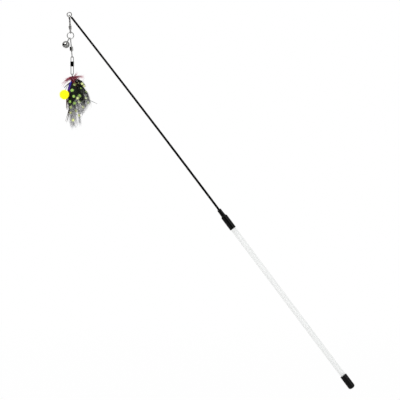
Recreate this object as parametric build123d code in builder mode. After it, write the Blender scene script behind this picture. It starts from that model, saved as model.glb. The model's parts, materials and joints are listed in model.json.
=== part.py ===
"""Cat teaser wand: clear handle, black rod, and a feather lure hung on clasp, ring, swivel and snap.

Millimetres. The wand lies in the XZ plane as it is held, with the lure hanging along -Z.
The origin is the middle of the end cap's straight outer wall.
"""

from build123d import *
from math import cos, radians, sin
import os

os.makedirs("parts", exist_ok=True)

# Fits and play
fit = 0.05              # radial clearance of a piece seated in another
spin_fit = 0.08         # radial clearance of a wire that turns in its hole
link_gap = 0.25         # play between two hooked links

# Handle and rod
lean = 53.13            # degrees, handle above the horizontal
tube_d = 7.2
tube_wall = 1.2
tube_exposed = 234.0
cap_grip = 18.0         # tube length held by the end cap
cap_wall = 0.85
cap_floor = 2.0
cap_round = 3.0
lip_round = 0.35
ferrule_grip = 16.0     # tube length held by the ferrule
ferrule_wall = 0.65
ferrule_bridge = 3.0
shoulder_length = 1.6
neck_length = 9.7
neck_wall = 1.35
neck_taper = 0.25       # radius lost along the neck
rod_root_d = 3.0
rod_tip_d = 2.6
rod_exposed = 309.0
rod_grip = 12.0
rod_droop = 3.2         # the tip's sag below the handle's axis
tip_wire = 1.2
tip_eye_r = 2.85        # to the middle of the wire
tip_shank = 1.35        # rod end to the loop's wire
tip_grip = 8.0
tip_knot = 0.3          # how far the loop's root stands out of the wire

# Lobster clasp
clasp_tilt = 4.0        # degrees from the vertical
clasp_bar = 1.8
clasp_mouth = 4.4
clasp_span = 20.8       # hook bar to base eye
clasp_eye_d = 2.8
clasp_eye_wall = 1.0
bar_round = 0.45
cheek = 0.9
gate_thick = 1.2
gate_side = 0.1
gate_gap = 0.4
gate_length = 8.6
pivot_rise = 6.3        # pivot above the base eye
pivot_offset = 2.0
tab_reach = 2.4
tab_r = 0.7
rivet_d = 1.0
rivet_head = 0.35
head_thick = 0.3
spring_wire = 0.3
spring_length = 0.5
spring_play = 0.1

# Ring and jingle bell
ring_r = 4.2            # to the middle of the wire
ring_wire = 1.0
ring_split = 3.0        # degrees left open
bell_lean = 26.5        # degrees from the vertical
bell_d = 9.4
bell_wall = 0.35
bell_rim = 0.2
rim_height = 0.5
bell_wire = 0.8
bell_loop_r = 2.7
bell_sink = 0.7
slot_width = 0.8
slot_end_d = 1.4
slot_rise = 2.2         # slot ends below the equator
ball_d = 2.4
ball_play = 0.1

# Barrel swivel
swivel_tilt = 5.0       # degrees from the vertical
swivel_wire = 1.0
swivel_half = 1.8       # half width to the middle of the wire
upper_span = 10.2
lower_span = 7.4
standoff = 1.1          # eye wire to the barrel's end
swivel_knot = 0.3
shank_d = 1.2
swivel_head_d = 2.4
swivel_head = 0.8
head_side = 0.2
head_play = 0.12
barrel_wall = 0.8
barrel_end = 0.7
barrel_length = 5.4
barrel_round = 0.6

# Safety snap
snap_wire_d = 0.9
snap_half = 1.6
snap_span = 23.0
clip_drop = 6.2
clip_length = 6.4
clip_sheet = 0.3
snap_split = 0.8

# Lure
loop_wire = 0.8
loop_half = 1.4
loop_span = 2.9
loop_grip = 4.5
loop_knot = 0.2
binding_d = 3.6
binding_length = 7.5
collar_wall = 0.8
collar_height = 1.4
hackle_tilt = 14.0      # degrees, right side raised
hackle_droop = 24.0
hackle_count = 18
hackle_length = 14.5
hackle_swing = 2.5      # difference in length from barb to barb
barb_r = 0.4
barb_tip_r = 0.1
feather_lean = 4.0
vane = 0.5              # thickness
pompom_d = 12.0
pompom_turn = -42.0     # degrees round the lure from its front
pompom_out = 15.4
pompom_drop = 15.6
stem_r = 0.35
stray_turn = 38.0       # degrees round the lure from its front
stray_drop = 23.0
stray_fall = 16.0       # degrees below the horizontal
stray_length = 22.5
stray_r = 0.3


def oval_wire(plane, half, span, wire_r):
    """Closed oval of round wire whose bar lies at the plane's origin and which hangs along -Y."""
    with BuildPart() as oval:
        for side, bend in ((-half, -half), (half, half - span)):
            section = Plane(origin=plane.from_local_coords((side, bend)), x_dir=plane.z_dir, z_dir=plane.y_dir)
            middle = Axis(plane.from_local_coords((0, bend)), plane.z_dir)
            with BuildSketch(section):
                Circle(wire_r)
            revolve(axis=middle, revolution_arc=-180)
            with BuildSketch(section):
                Circle(wire_r)
            extrude(amount=(span - 2 * half) * side / half)
    return oval.part


def hung(up, x_dir=(0, 1, 0)):
    """Normal of a plane whose local Y points along up."""
    return Vector(x_dir).cross(Vector(up))


# Wand axis and the stations along it, measured from the origin
wand = Vector(-cos(radians(lean)), 0, sin(radians(lean)))
wand_axis = Axis((0, 0, 0), wand)
axial = Plane(origin=(0, 0, 0), x_dir=wand, z_dir=(0, 1, 0))
tube_r = tube_d / 2
bore_r = tube_r + fit
cap_r = bore_r + cap_wall
cap_length = cap_floor + cap_grip
cap_straight = cap_length - cap_round - lip_round
butt = -cap_round - cap_straight / 2
cap_mouth = butt + cap_length
ferrule_mouth = cap_mouth + tube_exposed
shoulder = ferrule_mouth + ferrule_grip + ferrule_bridge
neck_base = shoulder + shoulder_length
neck_top = neck_base + neck_length
ferrule_r = bore_r + ferrule_wall
rod_r = rod_root_d / 2
neck_r = rod_r + fit + neck_wall


def across(station):
    """Plane square to the wand's axis."""
    return Plane(origin=wand * station, x_dir=(0, 1, 0), z_dir=wand)


with BuildPart() as end_cap:
    with BuildSketch(across(butt)):
        Circle(cap_r)
    extrude(amount=cap_length)
    with BuildSketch(across(butt + cap_floor)):
        Circle(bore_r)
    extrude(amount=cap_grip, mode=Mode.SUBTRACT)
    fillet(end_cap.edges().sort_by(wand_axis)[0], cap_round)
    rim = end_cap.edges().group_by(wand_axis)[-1].sort_by(SortBy.RADIUS)
    fillet(rim[-1], lip_round)
end_cap.part.label = "end_cap"
export_step(end_cap.part, "parts/end_cap.step")

with BuildPart() as handle_tube:
    with BuildSketch(across(butt + cap_floor)):
        Circle(tube_r)
        Circle(tube_r - tube_wall, mode=Mode.SUBTRACT)
    extrude(amount=cap_grip + tube_exposed + ferrule_grip)
handle_tube.part.label = "handle_tube"
export_step(handle_tube.part, "parts/handle_tube.step")

with BuildPart() as ferrule:
    with BuildSketch(axial):
        with BuildLine():
            Polyline(
                (ferrule_mouth, 0),
                (ferrule_mouth, ferrule_r),
                (shoulder, ferrule_r),
                (neck_base, neck_r),
                (neck_top, neck_r - neck_taper),
                (neck_top, 0),
                close=True,
            )
        make_face()
    revolve(axis=wand_axis)
    rings = ferrule.edges().filter_by(GeomType.CIRCLE).sort_by(wand_axis)
    fillet([rings[0], rings[1], rings[-1]], lip_round)
    with BuildSketch(across(ferrule_mouth)):
        Circle(bore_r)
    extrude(amount=ferrule_grip, mode=Mode.SUBTRACT)
    with BuildSketch(across(neck_top)):
        Circle(rod_r + fit)
    extrude(amount=-rod_grip, mode=Mode.SUBTRACT)
ferrule.part.label = "ferrule"
export_step(ferrule.part, "parts/ferrule.step")

# The rod sags as a parabola from the ferrule's mouth to its tip
sag = Vector(-sin(radians(lean)), 0, -cos(radians(lean)))


def rod_station(share):
    """Plane square to the rod at a share of its free length."""
    centre = wand * (neck_top + rod_exposed * share) + sag * (rod_droop * share**2)
    run = wand * rod_exposed + sag * (2 * rod_droop * share)
    return Plane(origin=centre, x_dir=(0, 1, 0), z_dir=run)


rod_end = rod_station(1)
rod_tip_r = rod_tip_d / 2
tip_r = tip_wire / 2
tip_dir = rod_end.z_dir
eye_centre = rod_end.origin + tip_dir * (tip_shank + tip_eye_r)

with BuildPart() as rod:
    with BuildSketch(across(neck_top - rod_grip)):
        Circle(rod_r)
    extrude(amount=rod_grip)
    for share in (0, 1 / 3, 2 / 3, 1):
        with BuildSketch(rod_station(share)):
            Circle(rod_r + (rod_tip_r - rod_r) * share)
    loft()
    with BuildSketch(rod_end):
        Circle(tip_r + fit)
    extrude(amount=-tip_grip, mode=Mode.SUBTRACT)
rod.part.label = "rod"
export_step(rod.part, "parts/rod.step")

with BuildPart(Plane(origin=eye_centre, x_dir=tip_dir, z_dir=(0, 1, 0))) as tip_eye:
    Torus(tip_eye_r, tip_r)
    with Locations((-tip_eye_r, 0)):
        Sphere(tip_r + tip_knot)
    with BuildSketch(Plane(origin=rod_end.origin - tip_dir * tip_grip, z_dir=tip_dir)):
        Circle(tip_r)
    extrude(amount=tip_grip + tip_shank)
tip_eye.part.label = "tip_eye"
export_step(tip_eye.part, "parts/tip_eye.step")

# Lobster clasp, edge on, its bar through the tip eye
bar_r = clasp_bar / 2
clasp_up = Vector(-sin(radians(clasp_tilt)), 0, cos(radians(clasp_tilt)))
clasp_at = eye_centre + Vector(0, 0, tip_r + link_gap + bar_r - tip_eye_r)
clasp_plane = Plane(origin=clasp_at, x_dir=(0, 1, 0), z_dir=hung(clasp_up))
clasp_side = Axis(clasp_at, clasp_plane.z_dir)
hook_r = (clasp_mouth + clasp_bar) / 2
hook_out = hook_r + bar_r
pivot = -clasp_span + pivot_rise
gate_tip = pivot + gate_length
nose = gate_tip + gate_gap
boss_r = rivet_d / 2 + 2 * spring_play + spring_wire + rivet_head
mouth_floor = pivot + boss_r + gate_gap
eye_out = clasp_eye_d / 2 + clasp_eye_wall
gate_half = gate_thick / 2
body_half = gate_half + gate_side + cheek
mouth_length = -bar_r - mouth_floor

with BuildPart() as clasp_body:
    with BuildSketch(clasp_plane):
        with BuildSketch(mode=Mode.PRIVATE) as taper:
            with Locations((0, pivot)):
                Circle(hook_out)
            with Locations((0, -clasp_span)):
                Circle(eye_out)
            make_hull()
        with Locations((0, (bar_r + pivot - hook_out) / 2)):
            SlotOverall(bar_r + hook_out - pivot, 2 * hook_out, rotation=90)
        add(taper.sketch)
        with Locations((0, -bar_r - mouth_length / 2)):
            SlotOverall(mouth_length, clasp_mouth, rotation=90, mode=Mode.SUBTRACT)
        with Locations((-hook_out, (nose + mouth_floor) / 2)):
            Rectangle(2 * hook_out, nose - mouth_floor, mode=Mode.SUBTRACT)
        with Locations((0, -clasp_span)):
            Circle(clasp_eye_d / 2, mode=Mode.SUBTRACT)
    extrude(amount=bar_r, both=True)
    outer_faces = clasp_body.faces().filter_by(clasp_side).sort_by(clasp_side)
    fillet(outer_faces[0].edges() + outer_faces[-1].edges(), bar_round)
    with BuildSketch(clasp_plane):
        with Locations((0, pivot)):
            Circle(hook_out - bar_round)
        with Locations((0, mouth_floor + hook_out)):
            Rectangle(2 * hook_out, 2 * hook_out, mode=Mode.SUBTRACT)
    extrude(amount=body_half, both=True)
    with BuildSketch(clasp_plane):
        with Locations((-pivot_offset, pivot)):
            Circle(rivet_d / 2 + fit)
    extrude(amount=body_half, both=True, mode=Mode.SUBTRACT)
    with BuildSketch(clasp_plane):
        with Locations((-pivot_offset, pivot)):
            Circle(boss_r + gate_gap)
        with Locations((-hook_out / 2, pivot + hook_out / 2)):
            Rectangle(hook_out + 2 * bar_r, hook_out)
    extrude(amount=gate_half + gate_side, both=True, mode=Mode.SUBTRACT)
clasp_body.part.label = "clasp_body"
export_step(clasp_body.part, "parts/clasp_body.step")

spring_r = rivet_d / 2 + spring_play + spring_wire
with BuildPart() as clasp_trigger:
    with BuildSketch(clasp_plane):
        with BuildSketch(mode=Mode.PRIVATE) as leaf:
            with Locations((-pivot_offset, pivot), (-hook_r, gate_tip - bar_r)):
                Circle(bar_r)
            make_hull()
        add(leaf.sketch)
        with BuildSketch(mode=Mode.PRIVATE) as tab:
            with Locations((-hook_r, pivot + gate_length / 2), (-hook_r - tab_reach, pivot + gate_length / 2)):
                Circle(tab_r)
            make_hull()
        add(tab.sketch)
        with Locations((-pivot_offset, pivot)):
            Circle(boss_r)
            Circle(rivet_d / 2 + fit, mode=Mode.SUBTRACT)
    extrude(amount=gate_half, both=True)
    with BuildSketch(clasp_plane.offset(gate_half)):
        with Locations((-pivot_offset, pivot)):
            Circle(spring_r + spring_play)
    extrude(amount=-spring_length - spring_play, mode=Mode.SUBTRACT)
clasp_trigger.part.label = "clasp_trigger"
export_step(clasp_trigger.part, "parts/clasp_trigger.step")

with BuildPart() as clasp_rivet:
    with BuildSketch(clasp_plane):
        with Locations((-pivot_offset, pivot)):
            Circle(rivet_d / 2)
    extrude(amount=body_half + head_thick, both=True)
    for end in (body_half, -body_half - head_thick):
        with BuildSketch(clasp_plane.offset(end)):
            with Locations((-pivot_offset, pivot)):
                Circle(rivet_d / 2 + rivet_head)
        extrude(amount=head_thick)
clasp_rivet.part.label = "clasp_rivet"
export_step(clasp_rivet.part, "parts/clasp_rivet.step")

with BuildPart() as clasp_spring:
    with BuildSketch(clasp_plane.offset(gate_half)):
        with Locations((-pivot_offset, pivot)):
            Circle(spring_r)
            Circle(spring_r - spring_wire, mode=Mode.SUBTRACT)
    extrude(amount=-spring_length)
clasp_spring.part.label = "clasp_spring"
export_step(clasp_spring.part, "parts/clasp_spring.step")

# Wire ring in the clasp's base eye
wire_r = ring_wire / 2
ring_top = clasp_at - clasp_up * clasp_span + Vector(0, 0, wire_r + link_gap - clasp_eye_d / 2)
ring_centre = ring_top - Vector(0, 0, ring_r)

with BuildPart(Plane(origin=ring_centre, x_dir=(1, 0, 0), z_dir=(0, -1, 0))) as jump_ring:
    Torus(ring_r, wire_r, major_angle=360 - ring_split)
jump_ring.part.label = "jump_ring"
export_step(jump_ring.part, "parts/jump_ring.step")

# Jingle bell on the ring, beside the swivel
bell_r = bell_d / 2
bell_wire_r = bell_wire / 2
bell_up = Vector(sin(radians(bell_lean)), 0, cos(radians(bell_lean)))
bell_bar = ring_centre - bell_up * (ring_r - wire_r - link_gap - bell_wire_r)
loop_centre = bell_bar - bell_up * bell_loop_r
bell_drop = bell_loop_r + bell_wire_r + bell_r - bell_sink
bell_centre = loop_centre - bell_up * bell_drop
bell_plane = Plane(origin=bell_centre, x_dir=(0, 1, 0), z_dir=bell_up)
inner_r = bell_r - bell_wall

with BuildPart(bell_plane) as bell_upper_shell:
    Sphere(bell_r)
    Sphere(inner_r, mode=Mode.SUBTRACT)
    split(bisect_by=bell_plane, keep=Keep.TOP)
bell_upper_shell.part.label = "bell_upper_shell"
export_step(bell_upper_shell.part, "parts/bell_upper_shell.step")

with BuildPart(bell_plane) as bell_lower_shell:
    Sphere(bell_r)
    split(bisect_by=bell_plane, keep=Keep.BOTTOM)
    with BuildSketch(bell_plane):
        Circle(bell_r + bell_rim)
    extrude(amount=-rim_height)
    Sphere(inner_r, mode=Mode.SUBTRACT)
    with BuildSketch(bell_plane.offset(-slot_rise)):
        Rectangle(bell_d, slot_width)
        with GridLocations(2 * (inner_r**2 - slot_rise**2) ** 0.5, 0, 2, 1):
            Circle(slot_end_d / 2)
    extrude(amount=-bell_r, mode=Mode.SUBTRACT)
bell_lower_shell.part.label = "bell_lower_shell"
export_step(bell_lower_shell.part, "parts/bell_lower_shell.step")

with BuildPart(Plane(origin=loop_centre, x_dir=(0, 1, 0), z_dir=hung(bell_up))) as bell_loop:
    Torus(bell_loop_r, bell_wire_r)
    with Locations((0, -bell_drop)):
        Sphere(bell_r + fit, mode=Mode.SUBTRACT)
bell_loop.part.label = "bell_loop"
export_step(bell_loop.part, "parts/bell_loop.step")

ball_drop = inner_r - ball_play - ball_d / 2
with BuildPart(Plane(origin=bell_centre - Vector(0, 0, ball_drop))) as bell_ball:
    Sphere(ball_d / 2)
bell_ball.part.label = "bell_ball"
export_step(bell_ball.part, "parts/bell_ball.step")

# Barrel swivel, its upper eye on the ring
eye_wire_r = swivel_wire / 2
swivel_up = Vector(-sin(radians(swivel_tilt)), 0, cos(radians(swivel_tilt)))
swivel_at = ring_centre + Vector(0, 0, wire_r + link_gap + eye_wire_r - ring_r)
swivel_axis = Axis(swivel_at, swivel_up)
barrel_top = upper_span + standoff
barrel_base = barrel_top + barrel_length
lower_bar = barrel_base + standoff
cavity_r = swivel_head_d / 2 + head_side
barrel_r = cavity_r + barrel_wall


def swivel_plane(down):
    """Plane square to the swivel's axis, at a distance below its bar."""
    return Plane(origin=swivel_at - swivel_up * down, x_dir=(0, 1, 0), z_dir=swivel_up)


def swivel_eye_plane(down):
    """Plane of an eye's oval, at a distance below the swivel's bar."""
    return Plane(origin=swivel_at - swivel_up * down, x_dir=(0, 1, 0), z_dir=hung(swivel_up))


upper_head = barrel_top + barrel_end + head_play
with BuildPart() as swivel_upper_eye:
    add(oval_wire(swivel_eye_plane(0), swivel_half, upper_span, eye_wire_r))
    with Locations(swivel_plane(upper_span).location):
        Sphere(shank_d / 2 + swivel_knot)
    with BuildSketch(swivel_plane(upper_span)):
        Circle(shank_d / 2)
    extrude(amount=upper_span - upper_head)
    with BuildSketch(swivel_plane(upper_head)):
        Circle(swivel_head_d / 2)
    extrude(amount=-swivel_head)
swivel_upper_eye.part.label = "swivel_upper_eye"
export_step(swivel_upper_eye.part, "parts/swivel_upper_eye.step")

with BuildPart() as swivel_barrel:
    with BuildSketch(swivel_plane(barrel_base)):
        Circle(barrel_r)
    extrude(amount=barrel_length)
    ends = swivel_barrel.edges().filter_by(GeomType.CIRCLE).sort_by(swivel_axis)
    fillet([ends[0], ends[-1]], barrel_round)
    with BuildSketch(swivel_plane(barrel_base - barrel_end)):
        Circle(cavity_r)
    extrude(amount=barrel_length - 2 * barrel_end, mode=Mode.SUBTRACT)
    with BuildSketch(swivel_plane(barrel_base)):
        Circle(shank_d / 2 + spin_fit)
    extrude(amount=barrel_length, mode=Mode.SUBTRACT)
swivel_barrel.part.label = "swivel_barrel"
export_step(swivel_barrel.part, "parts/swivel_barrel.step")

lower_head = barrel_base - barrel_end - head_play
with BuildPart() as swivel_lower_eye:
    add(oval_wire(swivel_eye_plane(lower_bar), swivel_half, lower_span, eye_wire_r))
    with Locations(swivel_plane(lower_bar).location):
        Sphere(shank_d / 2 + swivel_knot)
    with BuildSketch(swivel_plane(lower_bar)):
        Circle(shank_d / 2)
    extrude(amount=lower_bar - lower_head)
    with BuildSketch(swivel_plane(lower_head)):
        Circle(swivel_head_d / 2)
    extrude(amount=swivel_head)
swivel_lower_eye.part.label = "swivel_lower_eye"
export_step(swivel_lower_eye.part, "parts/swivel_lower_eye.step")

# Safety snap, face on, in the swivel's lower eye
snap_r = snap_wire_d / 2
lower_wire = swivel_at - swivel_up * (lower_bar + lower_span)
snap_at = lower_wire + Vector(0, 0, eye_wire_r + link_gap + snap_r)
snap_plane = Plane(origin=snap_at, x_dir=(1, 0, 0), z_dir=(0, -1, 0))
clip_mid = clip_drop + clip_length / 2

with BuildPart() as snap_wire:
    with BuildLine(snap_plane) as snap_path:
        lower_run = Line((snap_half, -clip_mid - snap_split / 2), (snap_half, snap_half - snap_span))
        low_bend = ThreePointArc(lower_run @ 1, (0, -snap_span), (-snap_half, snap_half - snap_span))
        long_run = Line(low_bend @ 1, (-snap_half, -snap_half))
        top_bend = ThreePointArc(long_run @ 1, (0, 0), (snap_half, -snap_half))
        Line(top_bend @ 1, (snap_half, -clip_mid + snap_split / 2))
    snap_run = snap_path.wires()[0]
    with BuildSketch(Plane(origin=snap_run @ 0, z_dir=snap_run % 0)):
        Circle(snap_r)
    sweep()
snap_wire.part.label = "snap_wire"
export_step(snap_wire.part, "parts/snap_wire.step")

with BuildPart() as snap_clip:
    with BuildSketch(Plane(origin=snap_at - Vector(0, 0, clip_drop), x_dir=(1, 0, 0), z_dir=(0, 0, -1))):
        SlotCenterToCenter(2 * snap_half, 2 * (snap_r + fit + clip_sheet))
        SlotCenterToCenter(2 * snap_half, 2 * (snap_r + fit), mode=Mode.SUBTRACT)
    extrude(amount=clip_length)
snap_clip.part.label = "snap_clip"
export_step(snap_clip.part, "parts/snap_clip.step")

# Lure loop and its thread binding
loop_r = loop_wire / 2
lure_at = snap_at + Vector(0, 0, snap_r + link_gap + loop_r - snap_span)
lure_plane = Plane(origin=lure_at, x_dir=(0, 1, 0), z_dir=(1, 0, 0))
binding_r = binding_d / 2
binding_top = lure_at - Vector(0, 0, loop_span + loop_r + loop_knot)
binding_foot = binding_top - Vector(0, 0, binding_length)

with BuildPart() as lure_loop:
    add(oval_wire(lure_plane, loop_half, loop_span, loop_r))
    with Locations(lure_at - Vector(0, 0, loop_span)):
        Sphere(loop_r + loop_knot)
    with BuildSketch(Plane(origin=lure_at - Vector(0, 0, loop_span))):
        Circle(loop_r)
    extrude(amount=-loop_r - loop_knot - loop_grip)
lure_loop.part.label = "lure_loop"
export_step(lure_loop.part, "parts/lure_loop.step")

with BuildPart() as lure_binding:
    with BuildSketch(Plane(origin=binding_top)):
        Circle(binding_r)
    extrude(amount=-binding_length)
    fillet(lure_binding.edges().sort_by(Axis.Z)[-1], lip_round)
    with BuildSketch(Plane(origin=binding_top)):
        Circle(loop_r + fit)
    extrude(amount=-loop_grip, mode=Mode.SUBTRACT)
lure_binding.part.label = "lure_binding"
export_step(lure_binding.part, "parts/lure_binding.step")

# Hackle: a collar of tapered barbs, its umbrella tilted up to the right
hackle_up = Vector(-sin(radians(hackle_tilt)), 0, cos(radians(hackle_tilt)))
hackle_right = Vector(cos(radians(hackle_tilt)), 0, sin(radians(hackle_tilt)))
collar_mid = binding_top - Vector(0, 0, lip_round + collar_height / 2)
collar_in = binding_r + fit
collar_r = collar_in + collar_wall

with BuildPart() as red_hackle:
    with BuildSketch(Plane(origin=collar_mid)):
        Circle(collar_r)
        Circle(collar_in, mode=Mode.SUBTRACT)
    extrude(amount=collar_height / 2, both=True)
    for barb in range(hackle_count):
        turn = radians(360 * barb / hackle_count)
        out = hackle_right * sin(turn) - Vector(0, cos(turn), 0)
        slope = out * cos(radians(hackle_droop)) - hackle_up * sin(radians(hackle_droop))
        flat = Vector(out.X, out.Y, 0).normalized()
        root = collar_mid + flat * (collar_in + collar_wall / 2)
        reach = hackle_length + hackle_swing * sin(3 * turn + barb)
        with BuildSketch(Plane(origin=root, z_dir=slope)):
            Circle(barb_r)
        with BuildSketch(Plane(origin=root + slope * reach, z_dir=slope)):
            Circle(barb_tip_r)
        loft()
red_hackle.part.label = "red_hackle"
export_step(red_hackle.part, "parts/red_hackle.step")

# Feathers: thin vanes on surfaces turned about the lure's own axis
feather_up = Vector(-sin(radians(feather_lean)), 0, cos(radians(feather_lean)))
feather_right = Vector(cos(radians(feather_lean)), 0, sin(radians(feather_lean)))
feather_axis = Axis(binding_foot, feather_up)
side_root = binding_r + fit + vane
outer_root = 1.35
inner_root = 0.75
root_drop = 0.3
side_rise = 1.5
top_rise = 3.0
root_half = 0.6
tip_half = 0.3


def radial(turn):
    """Direction square to the feather axis, turned from the front towards the right."""
    return feather_right * sin(radians(turn)) - Vector(0, cos(radians(turn)), 0)


def feather(turn, spread, root, belly, tip, half_width):
    """Curved vane: root, belly and tip are (radius, distance below the binding's foot)."""
    side = radial(turn - spread)
    chord = Vector(tip[0] - root[0], root[1] - tip[1]).normalized()
    with BuildPart() as blade:
        with BuildSketch(Plane(origin=binding_foot, x_dir=side, z_dir=side.cross(feather_up))):
            with BuildLine():
                points = [(radius, -drop) for radius, drop in (root, belly, tip)]
                outer = ThreePointArc(*points)
                inner = ThreePointArc(*[(x + chord.Y * vane, y - chord.X * vane) for x, y in points])
                Line(outer @ 0, inner @ 0)
                Line(outer @ 1, inner @ 1)
            make_face()
        revolve(axis=feather_axis, revolution_arc=2 * spread)
        with BuildSketch(Plane(origin=binding_foot, x_dir=-feather_up, z_dir=radial(turn))):
            with BuildLine():
                belly_drop = root[1] + (tip[1] - root[1]) / 3
                upper = Spline((root[1], root_half), (belly_drop, half_width), (tip[1], tip_half))
                lower = Spline((root[1], -root_half), (belly_drop, -half_width), (tip[1], -tip_half))
                Line(upper @ 0, lower @ 0)
                Line(upper @ 1, lower @ 1)
            make_face()
        extrude(amount=2 * max(root[0], belly[0], tip[0]), mode=Mode.INTERSECT)
    return blade.part


def vane_radius(root, belly, tip, drop):
    """Radius of a vane's outer face at a distance below the binding's foot."""
    arc = Edge.make_three_point_arc(*[(radius, -below) for radius, below in (root, belly, tip)])
    middle = arc.arc_center
    return middle.X + (arc.radius**2 - (drop + middle.Y) ** 2) ** 0.5


low_root = (outer_root, root_drop)
core_root = (inner_root, root_drop)
high_root = (side_root, -side_rise)
top_root = (side_root, -top_rise)
feathers = {
    "front_spotted_feather": (-14, 42, low_root, (8.0, 14), (8.6, 40), 8.5),
    "front_right_spotted_feather": (20, 28, high_root, (13.0, 12), (14.8, 36), 8.5),
    "right_spotted_feather": (74, 26, low_root, (14.5, 10), (13.6, 36), 8.0),
    "rear_right_spotted_feather": (128, 28, low_root, (10.5, 15), (11.4, 38), 8.0),
    "rear_left_spotted_feather": (195, 36, low_root, (8.4, 14), (9.4, 40), 8.5),
    "left_spotted_feather": (-94, 34, low_root, (7.4, 13), (9.0, 31), 7.0),
    "shoulder_spotted_feather": (64, 34, top_root, (12.0, -1.4), (18.0, 7.5), 8.0),
    "front_grey_plume": (-12, 46, core_root, (4.6, 20), (5.8, 56), 6.0),
    "right_grey_plume": (104, 46, core_root, (4.8, 20), (6.4, 52), 6.0),
    "left_grey_plume": (-138, 46, core_root, (4.6, 20), (5.8, 54), 6.0),
    "brown_strand": (-75, 9, core_root, (4.2, 26), (12.6, 52), 0.9),
    "grey_fluff": (108, 16, high_root, (17.0, 12), (21.0, 33), 4.0),
    "purple_feather": (-26, 9, high_root, (7.6, 4.5), (11.2, 12), 1.7),
}
for name, shape in feathers.items():
    with BuildPart() as node:
        add(feather(*shape))
    node.part.label = name
    export_step(node.part, f"parts/{name}.step")

# Stray barb that stands out of the front right vane
stray_seat = vane_radius(*feathers["front_right_spotted_feather"][2:5], stray_drop) + stray_r + fit
stray_root = binding_foot + radial(stray_turn) * stray_seat - feather_up * stray_drop
stray_run = Vector(cos(radians(stray_fall)), 0, -sin(radians(stray_fall)))

with BuildPart() as long_barb:
    with BuildSketch(Plane(origin=stray_root, z_dir=stray_run)):
        Circle(stray_r)
    with BuildSketch(Plane(origin=stray_root + stray_run * stray_length, z_dir=stray_run)):
        Circle(barb_tip_r)
    loft()
long_barb.part.label = "long_barb"
export_step(long_barb.part, "parts/long_barb.step")

# Pom-pom on its stem, in front of the vanes on the left
pompom_r = pompom_d / 2
pompom_at = binding_foot + radial(pompom_turn) * pompom_out - feather_up * pompom_drop
stem_root = binding_foot + radial(pompom_turn) * (binding_r + fit + stem_r) + feather_up * stem_r
stem_run = pompom_at - stem_root
stem_plane = Plane(origin=stem_root, z_dir=stem_run)

with BuildPart() as pompom_stem:
    with BuildSketch(stem_plane):
        Circle(stem_r)
    extrude(amount=stem_run.length - pompom_r - fit)
pompom_stem.part.label = "pompom_stem"
export_step(pompom_stem.part, "parts/pompom_stem.step")

with BuildPart(Plane(origin=pompom_at)) as pompom:
    Sphere(pompom_r)
pompom.part.label = "pompom"
export_step(pompom.part, "parts/pompom.step")
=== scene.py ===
# %% [markdown]
# # A cat teaser wand, dressed in Blender
# The wand is a clear handle tube with a thin black rod, and a feather lure hangs from the rod's tip on a
# chain of small nickel fittings. The CAD model has every hard piece at its real size and place, so it is loaded
# as a fixed frame that nothing here moves. Blender adds what the solids leave plain: the finish of each surface,
# and the lure's feathers, which are made barb by barb.

# %% Load the frame
import json
from math import atan2, cos, hypot, pi, radians, sin, sqrt
from random import Random

import bmesh
import bpy
from mathutils import Matrix, Vector
from mathutils.kdtree import KDTree


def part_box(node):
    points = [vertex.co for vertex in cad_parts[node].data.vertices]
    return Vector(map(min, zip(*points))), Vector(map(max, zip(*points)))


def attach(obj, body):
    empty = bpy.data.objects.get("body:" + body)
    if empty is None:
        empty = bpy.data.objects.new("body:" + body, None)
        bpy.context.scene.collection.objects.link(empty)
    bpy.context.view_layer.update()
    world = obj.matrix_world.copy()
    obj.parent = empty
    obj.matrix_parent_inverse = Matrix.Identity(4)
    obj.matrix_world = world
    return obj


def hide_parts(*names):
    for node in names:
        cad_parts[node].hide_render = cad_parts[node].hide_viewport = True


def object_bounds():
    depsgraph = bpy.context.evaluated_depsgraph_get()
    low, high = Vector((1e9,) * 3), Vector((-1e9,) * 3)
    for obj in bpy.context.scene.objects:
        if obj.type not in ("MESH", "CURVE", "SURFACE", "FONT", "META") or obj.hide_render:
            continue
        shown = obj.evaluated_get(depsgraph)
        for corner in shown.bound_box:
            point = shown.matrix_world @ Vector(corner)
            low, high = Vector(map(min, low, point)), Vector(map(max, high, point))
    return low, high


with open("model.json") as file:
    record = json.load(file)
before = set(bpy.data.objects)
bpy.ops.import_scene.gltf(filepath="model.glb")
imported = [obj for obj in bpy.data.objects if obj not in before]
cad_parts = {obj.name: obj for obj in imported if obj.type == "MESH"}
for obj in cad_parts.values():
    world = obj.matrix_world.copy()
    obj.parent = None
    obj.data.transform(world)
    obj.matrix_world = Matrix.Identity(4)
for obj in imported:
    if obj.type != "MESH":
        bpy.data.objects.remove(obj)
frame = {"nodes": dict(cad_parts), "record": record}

MM = 0.001
cad_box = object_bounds()
nodes = frame["nodes"]
scene = bpy.context.scene

# %% [markdown]
# ## The camera
# The photograph is a catalogue shot taken square to the wand, so one scale holds all over it. A long lens far
# away keeps that flat look. A wide lens close by would fit the frame too, but it would swell the front of the lure,
# which stands nearer to the camera than the rod does.

# %% Camera at the photograph's angle
PHOTO_SIDE = 400                 # pixels
PIXEL = 1.275 * MM               # real length of one pixel at the wand
ORIGIN_PIXEL = (347.29, 380.85)  # where the frame's origin lies in the photograph
LENS = 150
SENSOR = 36


def at_pixel(across, down, depth=0.0):
    """Point of the frame that a pixel of the photograph shows, depth metres behind the wand."""
    return Vector(((across - ORIGIN_PIXEL[0]) * PIXEL, depth, (ORIGIN_PIXEL[1] - down) * PIXEL))


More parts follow.
